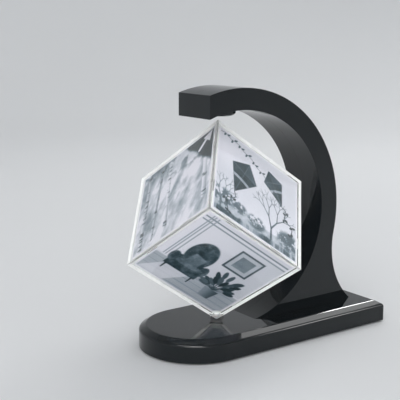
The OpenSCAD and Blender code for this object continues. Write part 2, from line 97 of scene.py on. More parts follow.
setCamera()
print("camera set")


# Helpers for node trees

def addNode(tree, kind, settings=None, inputs=None):
    node = tree.nodes.new(kind)
    for name, value in (settings or {}).items():
        setattr(node, name, value)
    for name, value in (inputs or {}).items():
        node.inputs[name].default_value = value
    return node


def addPlaced(tree, kind, settings=None, inputs=None):
    # the first input takes Object coordinates, so a pattern moves with its piece
    node = addNode(tree, kind, settings, inputs)
    place = addNode(tree, "ShaderNodeTexCoord")
    tree.links.new(place.outputs["Object"], node.inputs[0])
    return node


def newGroup(name, kind, inputs, outputs):
    # an input is given by its usual number, or by the kind of its socket
    tree = bpy.data.node_groups.new(name, kind)
    for label, value in inputs.items():
        plain = isinstance(value, float)
        socket = tree.interface.new_socket(
            name=label, in_out="INPUT", socket_type="NodeSocket" + ("Float" if plain else value))
        if plain:
            socket.default_value = value
    for label, value in outputs.items():
        tree.interface.new_socket(name=label, in_out="OUTPUT", socket_type="NodeSocket" + value)
    return tree, addNode(tree, "NodeGroupInput"), addNode(tree, "NodeGroupOutput")


# Shader groups, each built once and placed in many materials

def addRelief(tree, depth, height, distance, made):
    bump = addNode(tree, "ShaderNodeBump", inputs={"Distance": distance})
    tree.links.new(depth, bump.inputs["Strength"])
    tree.links.new(height, bump.inputs["Height"])
    tree.links.new(bump.outputs["Normal"], made.inputs["Normal"])


def addGloss(tree, given, pattern, low, high, made):
    # the pattern's values from low to high spread the roughness over the range that is given
    gloss = addNode(tree, "ShaderNodeMapRange", inputs={"From Min": low, "From Max": high})
    tree.links.new(pattern, gloss.inputs["Value"])
    tree.links.new(given.outputs["Gloss Low"], gloss.inputs["To Min"])
    tree.links.new(given.outputs["Gloss High"], gloss.inputs["To Max"])
    tree.links.new(gloss.outputs["Result"], made.inputs["Roughness"])


def buildFineFinish():
    # small waves of a moulding, smudges that change the gloss, and a few specks of dust
    tree, given, made = newGroup("fineFinish", "ShaderNodeTree", {
        "Wave Size": 300.0, "Wave Depth": 0.1, "Smudge Size": 25.0, "Gloss Low": 0.1, "Gloss High": 0.2,
        "Dust Spread": 120.0, "Dust Amount": 0.05,
    }, {"Roughness": "Float", "Dust": "Float", "Normal": "Vector"})
    link = tree.links.new
    wave = addPlaced(tree, "ShaderNodeTexNoise", inputs={"Detail": 3.0, "Roughness": 0.45})
    link(given.outputs["Wave Size"], wave.inputs["Scale"])
    addRelief(tree, given.outputs["Wave Depth"], wave.outputs["Fac"], 0.1 * mm, made)
    smudge = addPlaced(tree, "ShaderNodeTexNoise",
                       inputs={"Detail": 5.0, "Roughness": 0.6, "Distortion": 1.2})
    link(given.outputs["Smudge Size"], smudge.inputs["Scale"])
    addGloss(tree, given, smudge.outputs["Fac"], 0.35, 0.7, made)
    specks = addPlaced(tree, "ShaderNodeTexVoronoi", {"feature": "F1"}, {"Randomness": 1.0})
    link(given.outputs["Dust Spread"], specks.inputs["Scale"])
    near = addNode(tree, "ShaderNodeMapRange", inputs={"From Min": 0.0, "To Min": 1.0, "To Max": 0.0})
    link(specks.outputs["Distance"], near.inputs["Value"])
    link(given.outputs["Dust Amount"], near.inputs["From Max"])
    link(near.outputs["Result"], made.inputs["Dust"])
    return tree


def buildBrushing():
    # fine lines along X, as plating over a drawn or rolled metal shows
    tree, given, made = newGroup("brushing", "ShaderNodeTree", {
        "Line Size": 900.0, "Stretch": 0.05, "Depth": 0.15, "Gloss Low": 0.2, "Gloss High": 0.4,
    }, {"Roughness": "Float", "Tone": "Float", "Normal": "Vector"})
    link = tree.links.new
    squeeze = addPlaced(tree, "ShaderNodeVectorMath", {"operation": "MULTIPLY"})
    sizes = addNode(tree, "ShaderNodeCombineXYZ", inputs={"Y": 1.0, "Z": 1.0})
    link(given.outputs["Stretch"], sizes.inputs["X"])
    link(sizes.outputs["Vector"], squeeze.inputs[1])
    lines = addNode(tree, "ShaderNodeTexNoise", inputs={"Detail": 6.0, "Roughness": 0.7})
    link(squeeze.outputs["Vector"], lines.inputs["Vector"])
    link(given.outputs["Line Size"], lines.inputs["Scale"])
    link(lines.outputs["Fac"], made.inputs["Tone"])
    addGloss(tree, given, lines.outputs["Fac"], 0.3, 0.7, made)
    addRelief(tree, given.outputs["Depth"], lines.outputs["Fac"], 0.03 * mm, made)
    return tree


fineFinish = buildFineFinish()
brushing = buildBrushing()


# Materials

def startMaterial(name, sockets):
    material = bpy.data.materials.new(name)
    material.use_nodes = True
    tree = material.node_tree
    shader = tree.nodes["Principled BSDF"]
    for socket, value in sockets.items():
        shader.inputs[socket].default_value = value
    return material, tree, shader


def twoTones(tree, factor, first, second, target):
    mix = addNode(tree, "ShaderNodeMix", {"data_type": "RGBA"})
    mix.inputs["A"].default_value = (*first, 1)
    mix.inputs["B"].default_value = (*second, 1)
    tree.links.new(factor, mix.inputs["Factor"])
    tree.links.new(mix.outputs["Result"], target)


def finishedMaterial(name, look, group):
    # the group's gloss and relief go straight to the shader
    material, tree, shader = startMaterial(name, look.get("sockets", {}))
    finish = addNode(tree, "ShaderNodeGroup", {"node_tree": group}, look["finish"])
    for socket in ("Roughness", "Normal"):
        tree.links.new(finish.outputs[socket], shader.inputs[socket])
    return material, tree, shader, finish


def mouldedPlastic(name, look):
    material, tree, shader, finish = finishedMaterial(name, look, fineFinish)
    twoTones(tree, finish.outputs["Dust"], look["tone"], look["dust"], shader.inputs["Base Color"])
    return material


def platedMetal(name, look):
    material, tree, shader, finish = finishedMaterial(name, look, brushing)
    shader.inputs["Metallic"].default_value = 1
    twoTones(tree, finish.outputs["Tone"], look["dark"], look["light"], shader.inputs["Base Color"])
    return material


glossBlack = mouldedPlastic("glossBlack", {
    "tone": (0.0035, 0.006, 0.0075), "dust": (0.06, 0.06, 0.058),
    "finish": {"Wave Size": 260, "Wave Depth": 0.012, "Smudge Size": 22, "Gloss Low": 0.015,
               "Gloss High": 0.06, "Dust Spread": 95, "Dust Amount": 0.035},
    "sockets": {"IOR": 1.47},
})
satinBlack = mouldedPlastic("satinBlack", {
    "tone": (0.022, 0.022, 0.023), "dust": (0.05, 0.05, 0.05),
    "finish": {"Wave Size": 2600, "Wave Depth": 0.5, "Smudge Size": 30, "Gloss Low": 0.42,
               "Gloss High": 0.58, "Dust Spread": 300, "Dust Amount": 0.1},
})
whitePlastic = mouldedPlastic("whitePlastic", {
    "tone": (0.82, 0.825, 0.82), "dust": (0.7, 0.7, 0.69),
    "finish": {"Wave Size": 700, "Wave Depth": 0.12, "Smudge Size": 40, "Gloss Low": 0.28,
               "Gloss High": 0.42, "Dust Spread": 160, "Dust Amount": 0.04},
    "sockets": {"Subsurface Weight": 0.08, "Subsurface Scale": 0.002},
})
chipBlack = mouldedPlastic("chipBlack", {
    "tone": (0.016, 0.016, 0.017), "dust": (0.08, 0.08, 0.08),
    "finish": {"Wave Size": 4200, "Wave Depth": 0.35, "Smudge Size": 60, "Gloss Low": 0.3,
               "Gloss High": 0.45, "Dust Spread": 700, "Dust Amount": 0.06},
})
footRubber = mouldedPlastic("footRubber", {
    "tone": (0.02, 0.02, 0.02), "dust": (0.11, 0.105, 0.1),
    "finish": {"Wave Size": 1800, "Wave Depth": 0.6, "Smudge Size": 90, "Gloss Low": 0.7,
               "Gloss High": 0.88, "Dust Spread": 420, "Dust Amount": 0.14},
})
# painted highlight: the covers' edges are a white frosted finish, whose white also stands in for the bright
# rims that light makes along clear acrylic edges
frostedEdge = mouldedPlastic("frostedEdge", {
    "tone": (0.86, 0.865, 0.86), "dust": (0.74, 0.75, 0.74),
    "finish": {"Wave Size": 1400, "Wave Depth": 0.2, "Smudge Size": 120, "Gloss Low": 0.25,
               "Gloss High": 0.4, "Dust Spread": 260, "Dust Amount": 0.1},
})
platedSteel = platedMetal("platedSteel", {
    "dark": (0.5, 0.5, 0.51), "light": (0.68, 0.68, 0.69),
    "finish": {"Line Size": 1500, "Stretch": 0.08, "Depth": 0.12, "Gloss Low": 0.2, "Gloss High": 0.36},
})
nickelPlate = platedMetal("nickelPlate", {
    "dark": (0.62, 0.6, 0.56), "light": (0.72, 0.7, 0.66),
    "finish": {"Line Size": 400, "Stretch": 0.9, "Depth": 0.04, "Gloss Low": 0.08, "Gloss High": 0.18},
})
copperWire = platedMetal("copperWire", {
    "dark": (0.55, 0.2, 0.08), "light": (0.82, 0.4, 0.2),
    "finish": {"Line Size": 2400, "Stretch": 0.6, "Depth": 0.1, "Gloss Low": 0.22, "Gloss High": 0.34},
    "sockets": {"Coat Weight": 0.6, "Coat Roughness": 0.12},
})

clearSheet = {
    "sockets": {"Base Color": (0.99, 0.995, 0.993, 1), "Transmission Weight": 1.0, "IOR": 1.3},
    "finish": {"Wave Size": 120, "Wave Depth": 0.006, "Smudge Size": 35, "Gloss Low": 0.0,
               "Gloss High": 0.035},
    "passed": (0.97, 0.98, 0.975, 1),  # the light that reaches what lies behind
}


def clearMaterial():
    # polished acrylic, with the faint ripple and smudges of a moulded sheet, which lets the lamps through
    material, tree, shader = finishedMaterial("clearPlastic", clearSheet, fineFinish)[:3]
    rays = addNode(tree, "ShaderNodeLightPath")
    through = addNode(tree, "ShaderNodeBsdfTransparent", inputs={"Color": clearSheet["passed"]})
    mix = addNode(tree, "ShaderNodeMixShader")
    tree.links.new(rays.outputs["Is Shadow Ray"], mix.inputs["Fac"])
    tree.links.new(shader.outputs["BSDF"], mix.inputs[1])
    tree.links.new(through.outputs["BSDF"], mix.inputs[2])
    tree.links.new(mix.outputs["Shader"], tree.nodes["Material Output"].inputs["Surface"])
    return material


photoPaper = {
    "sockets": {"Specular IOR Level": 0.25},
    "grain": {"Scale": 2600, "Detail": 2},
    "grainDepth": {"From Min": 0.3, "From Max": 0.7, "To Min": 0.93, "To Max": 1.05},
    "finish": {"Wave Size": 900, "Wave Depth": 0.05, "Smudge Size": 30, "Gloss Low": 0.3,
               "Gloss High": 0.42},
}


def printMaterial():
    # a photo print: its tones are painted on the mesh, under a glossy skin with a fine grain
    material, tree, shader = finishedMaterial("photoPrint", photoPaper, fineFinish)[:3]
    tones = addNode(tree, "ShaderNodeAttribute", {"attribute_name": "tones"})
    grain = addPlaced(tree, "ShaderNodeTexNoise", inputs=photoPaper["grain"])
    level = addNode(tree, "ShaderNodeMapRange", inputs=photoPaper["grainDepth"])
    tree.links.new(grain.outputs["Fac"], level.inputs["Value"])
    mix = addNode(tree, "ShaderNodeMix", {"data_type": "RGBA", "blend_type": "MULTIPLY"}, {"Factor": 1.0})
    tree.links.new(tones.outputs["Color"], mix.inputs["A"])
    tree.links.new(level.outputs["Result"], mix.inputs["B"])
    tree.links.new(mix.outputs["Result"], shader.inputs["Base Color"])
    return material


laminate = {
    "sockets": {"Coat Weight": 0.5, "Coat Roughness": 0.2},
    "tracks": {"Color1": (0.02, 0.13, 0.06, 1), "Color2": (0.025, 0.16, 0.075, 1),
               "Mortar": (0.09, 0.3, 0.14, 1), "Scale": 190, "Mortar Size": 0.035,
               "Mortar Smooth": 0.1, "Brick Width": 3.1, "Row Height": 0.27},
    "finish": {"Wave Size": 1500, "Wave Depth": 0.1, "Smudge Size": 60, "Gloss Low": 0.3,
               "Gloss High": 0.45},
}


def boardMaterial():
    # green laminate with paler tracks under the lacquer
    material, tree, shader = finishedMaterial("circuitLaminate", laminate, fineFinish)[:3]
    tracks = addPlaced(tree, "ShaderNodeTexBrick", {"offset": 0.37, "squash": 1.6, "squash_frequency": 3},
                       laminate["tracks"])
    tree.links.new(tracks.outputs["Color"], shader.inputs["Base Color"])
    return material


cellSleeve = {
    "sockets": {"Coat Weight": 0.3, "Coat Roughness": 0.1},
    # where each band starts, from the minus end to the plus end, and its tone
    "bands": [(0.0, (0.6, 0.6, 0.6)), (0.015, (0.035, 0.045, 0.07)), (0.7, (0.62, 0.3, 0.13)),
              (0.955, (0.6, 0.6, 0.6))],
    "finish": {"Wave Size": 500, "Wave Depth": 0.05, "Smudge Size": 80, "Gloss Low": 0.2,
               "Gloss High": 0.32},
}


def cellMaterial(name, plusEnd):
    # a plain sleeve with a copper-coloured band by the plus end and bare steel at both ends
    low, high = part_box(name)
    minus, plus = (low[0], high[0]) if plusEnd > 0 else (high[0], low[0])
    material, tree, shader = finishedMaterial(name + "_sleeve", cellSleeve, fineFinish)[:3]
    parts = addPlaced(tree, "ShaderNodeSeparateXYZ")
    along = addNode(tree, "ShaderNodeMapRange", inputs={"From Min": minus, "From Max": plus})
    tree.links.new(parts.outputs["X"], along.inputs["Value"])
    bands = addNode(tree, "ShaderNodeValToRGB")
    bands.color_ramp.interpolation = "CONSTANT"
    stops = bands.color_ramp.elements
    for index, (where, tone) in enumerate(cellSleeve["bands"]):
        stop = stops[index] if index < 2 else stops.new(where)  # a ramp starts with two stops
        stop.position = where
        stop.color = (*tone, 1)
    tree.links.new(along.outputs["Result"], bands.inputs["Fac"])
    tree.links.new(bands.outputs["Color"], shader.inputs["Base Color"])
    return material


clearPlastic = clearMaterial()
photoPrint = printMaterial()
circuitLaminate = boardMaterial()

# nodes that are seen as they are
finishes = [
    (satinBlack, ["base_plate"]),
    (chipBlack, ["bearing_cup", "driver_chip", "capacitor"]),
    (whitePlastic, ["coil_bobbin", "core_lid"]),
    (circuitLaminate, ["circuit_board"]),
    (platedSteel, ["coil_core", "switch_body", "contact_plus", "contact_minus", "bridge_contact",
                   "base_screws", "arm_screws", "core_screws"]),
    (nickelPlate, ["arm_magnet", "top_magnet", "drive_magnet"]),
    (cellMaterial("battery_1", 1), ["battery_1"]),
    (cellMaterial("battery_2", -1), ["battery_2"]),
]
for material, names in finishes:
    for name in names:
        for slot in nodes[name].material_slots:
            slot.material = material
print("materials made")


# Helpers for meshes

def newPiece(name, mesh, material):
    piece = bpy.data.objects.new(name, mesh)
    bpy.context.scene.collection.objects.link(piece)
    mesh.materials.clear()
    mesh.materials.append(material)
    return piece


def bake(piece):
    # turns what the modifiers make into a plain mesh
    seen = piece.evaluated_get(bpy.context.evaluated_depsgraph_get())
    mesh = bpy.data.meshes.new_from_object(seen)
    piece.modifiers.clear()
    piece.data = mesh


def growPiece(name, tree, values, material):
    # a Geometry Nodes tree makes the piece from these values
    piece = newPiece(name, bpy.data.meshes.new(name), material)
    maker = piece.modifiers.new(name, "NODES")
    maker.node_group = tree
    for item in tree.interface.items_tree:
        if item.item_type == "SOCKET" and item.in_out == "INPUT":
            maker[item.identifier] = values[item.name]
    bake(piece)
    return piece


def endTree(tree, given, made, shape):
    # instances become real, and the whole shape takes the finish
    real = addNode(tree, "GeometryNodeRealizeInstances")
    tree.links.new(shape, real.inputs["Geometry"])
    paint = addNode(tree, "GeometryNodeSetMaterial")
    tree.links.new(real.outputs["Geometry"], paint.inputs["Geometry"])
    tree.links.new(given.outputs["Finish"], paint.inputs["Material"])
    tree.links.new(paint.outputs["Geometry"], made.inputs["Geometry"])


def standFor(piece, nodeName, body):
    # the piece is seen in place of the node and moves with its body
    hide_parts(nodeName)
    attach(piece, body)


# Moulded shells, with the small round edges that catch the light

softEdges = {
    # node: piece, body, material, edge in millimetres
    "base_shell": ("base_body", "stand", glossBlack, 1.3),
    "arm_front_shell": ("arm_front", "stand", glossBlack, 0.22),
    "arm_rear_shell": ("arm_rear", "stand", glossBlack, 0.22),
    "magnet_boss": ("arm_boss", "stand", glossBlack, 0.9),
    **{f"foot_{k}": (f"foot_pad_{k}", "stand", footRubber, 0.3) for k in (1, 2, 3, 4)},
    "battery_door": ("door_panel", "door", satinBlack, 0.15),
    "switch_knob": ("switch_slider", "switch", glossBlack, 0.1),
    "core_box": ("cube_core", "cube", whitePlastic, 0.25),
    "pivot_tip": ("cube_point", "cube", whitePlastic, 0.3),
    **{f"{half}_cover_{k}": (f"clear_{half}_{k}", f"{half}_cover_{k}", clearPlastic, 0.15)
       for half in ("upper", "lower") for k in (1, 2, 3)},
}
rounding = {
    "merge": 0.005,  # closer points of a CAD mesh are one, mm
    "flatTurn": 0.6,  # faces that turn by less are one face, degrees
    "edgeTurn": 22,  # edges that turn by more are rounded, degrees
    "segments": 3,
    "sharpTurn": 38,  # what turns by more after that is shaded as a sharp edge, degrees
    "faceWeight": 100,  # how much the large faces lead the shading
    "polishedFrom": 0.97,  # cosine of the turn from its outward direction that a broad face may have
}
edgeShares = {
    # how much of a piece's own edge its lines get
    "seam": 0.35,  # where the halves of the arm meet
    "slopeTop": 0.55,  # the upper rim of the slope round the base
    "slopeFoot": 1.0,  # its lower rim, the roundest edge of the base
    "otherBase": 0.3,
    "bossRim": 1.0,  # the lower rim of the boss under the arm
    "bossSide": 0.2,  # where its slope meets its side
    "otherBoss": 0.1,
}
edgePlaces = {
    # where those lines lie, mm
    "baseTop": spinJoint["pos_m"][2] / mm,
    "slopeFoot": 14.2,
    "bossRim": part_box("magnet_boss")[0][2] / mm,
    "bossSlope": 1.6,  # height of the slope round the boss
    "bossInside": 10,  # the boss's hollow reaches no farther from its axis
    "near": 0.1,  # how closely a line keeps to its height
    "nearSeam": 0.02,  # and to the plane of the seam
}


def edgeShare(nodeName, line):
    places = [vertex.co / mm for vertex in line.verts]

    def isAt(height):
        return all(abs(place.z - height) < edgePlaces["near"] for place in places)

    if nodeName.startswith("arm"):
        onSeam = all(abs(place.y) < edgePlaces["nearSeam"] for place in places)
        return edgeShares["seam"] if onSeam else 1
    if nodeName == "magnet_boss":
        reach = min(math.hypot(place.x - spinX / mm, place.y) for place in places)
        if reach > edgePlaces["bossInside"]:
            if isAt(edgePlaces["bossRim"]):
                return edgeShares["bossRim"]
            if isAt(edgePlaces["bossRim"] + edgePlaces["bossSlope"]):
                return edgeShares["bossSide"]
        return edgeShares["otherBoss"]
    if nodeName == "base_shell":
        if isAt(edgePlaces["slopeFoot"]):
            return edgeShares["slopeFoot"]
        return edgeShares["slopeTop" if isAt(edgePlaces["baseTop"]) else "otherBase"]
    return 1


def roundEdges(nodeName, pieceName, body, material, edge):
    mesh = nodes[nodeName].data.copy()
    if "custom_normal" in mesh.attributes:
        mesh.attributes.remove(mesh.attributes["custom_normal"])
    shape = bmesh.new()
    shape.from_mesh(mesh)
    bmesh.ops.remove_doubles(shape, verts=shape.verts, dist=rounding["merge"] * mm)
    bmesh.ops.dissolve_limit(shape, angle_limit=math.radians(rounding["flatTurn"]), verts=shape.verts,
                             edges=shape.edges)
    share = shape.edges.layers.float.new("bevel_weight_edge")
    for line in shape.edges:
        if line.is_manifold and line.calc_face_angle() > math.radians(rounding["edgeTurn"]):
            line[share] = edgeShare(nodeName, line)
    for face in shape.faces:
        face.smooth = True
    shape.to_mesh(mesh)
    shape.free()
    piece = newPiece(pieceName, mesh, material)
    bevel = piece.modifiers.new("edge", "BEVEL")
    bevel.width = edge * mm
    bevel.segments = rounding["segments"]
    bevel.limit_method = "WEIGHT"
    bevel.use_clamp_overlap = "cover" in nodeName
    bake(piece)
    piece.data.set_sharp_from_angle(angle=math.radians(rounding["sharpTurn"]))
    weigh = piece.modifiers.new("shade", "WEIGHTED_NORMAL")
    weigh.keep_sharp = True
    weigh.weight = rounding["faceWeight"]
    bake(piece)
    standFor(piece, nodeName, body)
    return piece


for nodeName, values in softEdges.items():
    piece = roundEdges(nodeName, *values)
    if "cover" in nodeName:
        # the two broad sides are polished; the ground edges get a white frosted finish whose white is also a
        # painted highlight, standing in for the bright rims that clear edges catch from the light
        piece.data.materials.append(frostedEdge)
        for face in piece.data.polygons:
            broad = abs(face.normal.dot(faceOut[nodeName])) > rounding["polishedFrom"]
            face.material_index = 0 if broad else 1
print("shells rounded")


# Coil: one outer layer of enamelled wire, over a plain ring for the layers below it

coil = {
    "wire": 0.36,  # diameter of the wire, mm
    "turns": 15.0,
    "sides": 8,  # of the wire's section
    "steps": 40,  # points on each turn
    "bore": 4.6,  # radius of the ring's hole, mm
    "ringDepth": 1.3,  # the ring's outside lies this many radii of the wire below the coil's
    "ringSides": 64,
    "sharpTurn": 40,  # degrees
}


def buildWindingTree():
    tree, given, made = newGroup("woundWire", "GeometryNodeTree", {
        "Turns": 15.0, "Radius": 0.01, "Height": 0.005, "Wire Radius": 0.0002, "Finish": "Material",
    }, {"Geometry": "Geometry"})
    link = tree.links.new
    helix = addNode(tree, "GeometryNodeCurveSpiral", inputs={"Resolution": coil["steps"]})
    for source, target in (("Turns", "Rotations"), ("Radius", "Start Radius"), ("Radius", "End Radius"),
                           ("Height", "Height")):
        link(given.outputs[source], helix.inputs[target])
    ring = addNode(tree, "GeometryNodeCurvePrimitiveCircle", inputs={"Resolution": coil["sides"]})
    link(given.outputs["Wire Radius"], ring.inputs["Radius"])
    sweep = addNode(tree, "GeometryNodeCurveToMesh", inputs={"Fill Caps": True})
    link(helix.outputs["Curve"], sweep.inputs["Curve"])
    link(ring.outputs["Curve"], sweep.inputs["Profile Curve"])
    endTree(tree, given, made, sweep.outputs["Mesh"])
    return tree


def windCoil():
    low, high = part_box("coil_winding")
    outer = (high[0] - low[0]) / 2
    wireRadius = coil["wire"] / 2 * mm
    centre = Vector(((low[0] + high[0]) / 2, (low[1] + high[1]) / 2, low[2]))
    piece = growPiece("coil_wire", buildWindingTree(), {
        "Turns": coil["turns"], "Radius": outer - wireRadius, "Height": high[2] - low[2] - 2 * wireRadius,
        "Wire Radius": wireRadius, "Finish": copperWire,
    }, copperWire)
    shape = bmesh.new()
    shape.from_mesh(piece.data)
    bmesh.ops.translate(shape, verts=shape.verts, vec=centre + Vector((0, 0, wireRadius)))
    bore = coil["bore"] * mm
    wall = outer - coil["ringDepth"] * wireRadius
    sides = coil["ringSides"]
    rings = []
    for radius, z in ((bore, low[2]), (wall, low[2]), (wall, high[2]), (bore, high[2])):
        rings.append([shape.verts.new((centre.x + radius * math.cos(turn), radius * math.sin(turn), z))
                      for turn in [math.tau * k / sides for k in range(sides)]])
    for ring, following in zip(rings, rings[1:] + rings[:1]):
        for i in range(sides):
            j = (i + 1) % sides
            shape.faces.new((ring[i], ring[j], following[j], following[i]))
    bmesh.ops.recalc_face_normals(shape, faces=shape.faces)
    for face in shape.faces:
        face.smooth = True
    shape.to_mesh(piece.data)
    shape.free()
    piece.data.set_sharp_from_angle(angle=math.radians(coil["sharpTurn"]))
    standFor(piece, "coil_winding", "stand")


windCoil()
print("coil wound")


# Legs of the driver chip, bent down onto the board

chipLegs = {
    "count": 4,  # on each side
    "pitch": 1.27,  # mm, as the next four are
    "width": 0.42,
    "thickness": 0.16,
    "reach": 1.0,  # from the chip's side to the end of the foot
    "shoulder": 0.75,  # height above the board at which a leg leaves the chip
    "outward": 0.55,  # pull of the bend's handle at the shoulder, as a share of the reach
    "footward": 0.7,  # and at the foot
    "steps": 10,  # points along a leg
}


def buildLegTree():
    tree, given, made = newGroup("legRows", "GeometryNodeTree", {
        "Count": "Int", "Pitch": 0.001, "Row Gap": 0.004, "Width": 0.0004, "Thickness": 0.0002,
        "Reach": 0.001, "Shoulder": 0.001, "Finish": "Material",
    }, {"Geometry": "Geometry"})
    link = tree.links.new

    def times(label, number):
        node = addNode(tree, "ShaderNodeMath", {"operation": "MULTIPLY"}, {1: number})
        link(given.outputs[label], node.inputs[0])
        return node.outputs["Value"]

    def vector(**sources):
        node = addNode(tree, "ShaderNodeCombineXYZ")
        for axis, socket in sources.items():
            link(socket, node.inputs[axis])
        return node.outputs["Vector"]

    # one leg: an S from the chip's side down to the board, where half its thickness lies above it
    bend = addNode(tree, "GeometryNodeCurvePrimitiveBezierSegment", {"mode": "OFFSET"},
                   {"Resolution": chipLegs["steps"]})
    link(vector(Z=given.outputs["Shoulder"]), bend.inputs["Start"])
    link(vector(Y=times("Reach", chipLegs["outward"])), bend.inputs["Start Handle"])
    link(vector(Y=given.outputs["Reach"], Z=times("Thickness", 0.5)), bend.inputs["End"])
    link(vector(Y=times("Reach", -chipLegs["footward"])), bend.inputs["End Handle"])
    strip = addNode(tree, "GeometryNodeCurvePrimitiveQuadrilateral")
    link(given.outputs["Width"], strip.inputs["Width"])
    link(given.outputs["Thickness"], strip.inputs["Height"])
    leg = addNode(tree, "GeometryNodeCurveToMesh", inputs={"Fill Caps": True})
    link(bend.outputs["Curve"], leg.inputs["Curve"])
    link(strip.outputs["Curve"], leg.inputs["Profile Curve"])

    # a row along the near side points backwards, and the row beyond the chip points forwards
    rows = addNode(tree, "GeometryNodeJoinGeometry")
    for beyond in (False, True):
        line = addNode(tree, "GeometryNodeMeshLine")
        link(given.outputs["Count"], line.inputs["Count"])
        link(vector(X=given.outputs["Pitch"]), line.inputs["Offset"])
        row = addNode(tree, "GeometryNodeInstanceOnPoints", inputs={
            "Rotation": (0, 0, 0 if beyond else math.pi)})
        if beyond:
            link(vector(Y=given.outputs["Row Gap"]), line.inputs["Start Location"])
        link(line.outputs["Mesh"], row.inputs["Points"])
        link(leg.outputs["Mesh"], row.inputs["Instance"])
        link(row.outputs["Instances"], rows.inputs["Geometry"])
    endTree(tree, given, made, rows.outputs["Geometry"])
    return tree


def makeChipLegs():
    low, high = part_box("driver_chip")
    lengths = {label: chipLegs[label.lower()] * mm
               for label in ("Pitch", "Width", "Thickness", "Reach", "Shoulder")}
    piece = growPiece("chip_legs", buildLegTree(), {
        "Count": chipLegs["count"], "Row Gap": high[1] - low[1], "Finish": platedSteel, **lengths,
    }, platedSteel)
    first = (low[0] + high[0] - (chipLegs["count"] - 1) * chipLegs["pitch"] * mm) / 2
    shape = bmesh.new()
    shape.from_mesh(piece.data)
    bmesh.ops.translate(shape, verts=shape.verts, vec=Vector((first, low[1], low[2])))
    bmesh.ops.recalc_face_normals(shape, faces=shape.faces)
    shape.to_mesh(piece.data)
    shape.free()
    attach(piece, "stand")


makeChipLegs()
print("chip legs made")


# Strokes and patterns of the photo prints. A picture is a grid of greys from 0 to 1, and x and y run over
# it from its lower left corner, also from 0 to 1.

def ramp(low, high, value):
    part = np.clip((value - low) / (high - low), 0, 1)
    return part * part * (3 - 2 * part)


def cloud(x, y, size, seed, layers=5):
    # each layer is twice as fine as the last one and half as strong
    side = 64  # of each layer's grid of random values
    shift = (11.3, 5.7)  # of that grid under the picture
    total, weight = 0, 0
    for layer in range(layers):
        grid = np.random.default_rng(seed + layer).random((side, side))
        u = x / size * 2 ** layer + shift[0]
        v = y / size * 2 ** layer + shift[1]
        i, j = np.floor(u).astype(int), np.floor(v).astype(int)
        a, b = ramp(0, 1, u - i), ramp(0, 1, v - j)
        left, right, low, high = i % side, (i + 1) % side, j % side, (j + 1) % side
        near = grid[left, low] * (1 - a) + grid[right, low] * a
        far = grid[left, high] * (1 - a) + grid[right, high] * a
        total = total + (near * (1 - b) + far * b) / 2 ** layer
        weight += 1 / 2 ** layer
    return total / weight


def lay(picture, tone, mask):
    return picture * (1 - mask) + tone * mask


def oval(x, y, middle, wide, high, turn=0, soft=0.12):
    c, s = math.cos(turn), math.sin(turn)
    u, v = x - middle[0], y - middle[1]
    reach = np.sqrt(((u * c + v * s) / wide) ** 2 + ((v * c - u * s) / high) ** 2)
    return 1 - ramp(1 - soft, 1 + soft, reach)


def stroke(x, y, start, end, wide, narrow=None, soft=0.004):
    narrow = wide if narrow is None else narrow
    dx, dy = end[0] - start[0], end[1] - start[1]
    along = np.clip(((x - start[0]) * dx + (y - start[1]) * dy) / (dx * dx + dy * dy), 0, 1)
    away = np.hypot(x - start[0] - along * dx, y - start[1] - along * dy)
    half = (wide + (narrow - wide) * along) / 2
    return 1 - ramp(-soft, soft, away - half)


def patch(x, y, corners, soft=0.004):
    # a convex shape, corners in order against the clock
    mask = 1
    for (x0, y0), (x1, y1) in zip(corners, corners[1:] + corners[:1]):
        inside = ((x1 - x0) * (y - y0) - (y1 - y0) * (x - x0)) / math.hypot(x1 - x0, y1 - y0)
        mask = mask * ramp(-soft, soft, inside)
    return mask


def block(x, y, left, low, right, high):
    return patch(x, y, [(left, low), (right, low), (right, high), (left, high)])


def growBranches(start, turn, length, wide, levels, dice):
    end = (start[0] + length * math.cos(turn), start[1] + length * math.sin(turn))
    yield start, end, wide, wide * 0.7
    if levels:
        for side in (-1, 1):
            bend = side * dice.uniform(0.25, 0.6)
            yield from growBranches(end, turn + bend, length * dice.uniform(0.66, 0.86), wide * 0.68,
                                    levels - 1, dice)


def bareTree(picture, x, y, foot, height, tone, seed):
    dice = np.random.default_rng(seed)
    for start, end, wide, narrow in growBranches(foot, math.pi / 2, height * 0.3, height * 0.05, 5, dice):
        picture = lay(picture, tone, 0.9 * stroke(x, y, start, end, wide, narrow, 0.003))
    return picture


def pine(picture, x, y, foot, height, tone, seed):
    dice = np.random.default_rng(seed)
    top = (foot[0], foot[1] + height)
    picture = lay(picture, tone, stroke(x, y, foot, top, 0.04 * height, 0.01 * height, 0.002))
    for k in range(20):
        # boughs droop on both sides, shorter towards the top
        level = foot[1] + height * (0.1 + 0.044 * k)
        reach = height * (0.25 - 0.0118 * k)
        for side in (-1, 1):
            tip = (foot[0] + side * reach * dice.uniform(0.7, 1.15), level - reach * dice.uniform(0.25, 0.5))
            picture = lay(picture, tone + dice.uniform(-0.04, 0.1),
                          stroke(x, y, (foot[0], level), tip, 0.06 * height, 0.015 * height, 0.004))
    return picture


def grassBand(picture, x, y, top, light, dark, seed):
    edge = top + 0.05 * cloud(x * 9, y, 0.5, seed) - 0.02
    blades = cloud(x * 26, y * 3, 0.9, seed + 9, 4)
    return lay(picture, dark + (light - dark) * ramp(0.3, 0.75, blades), ramp(0.015, -0.015, y - edge))


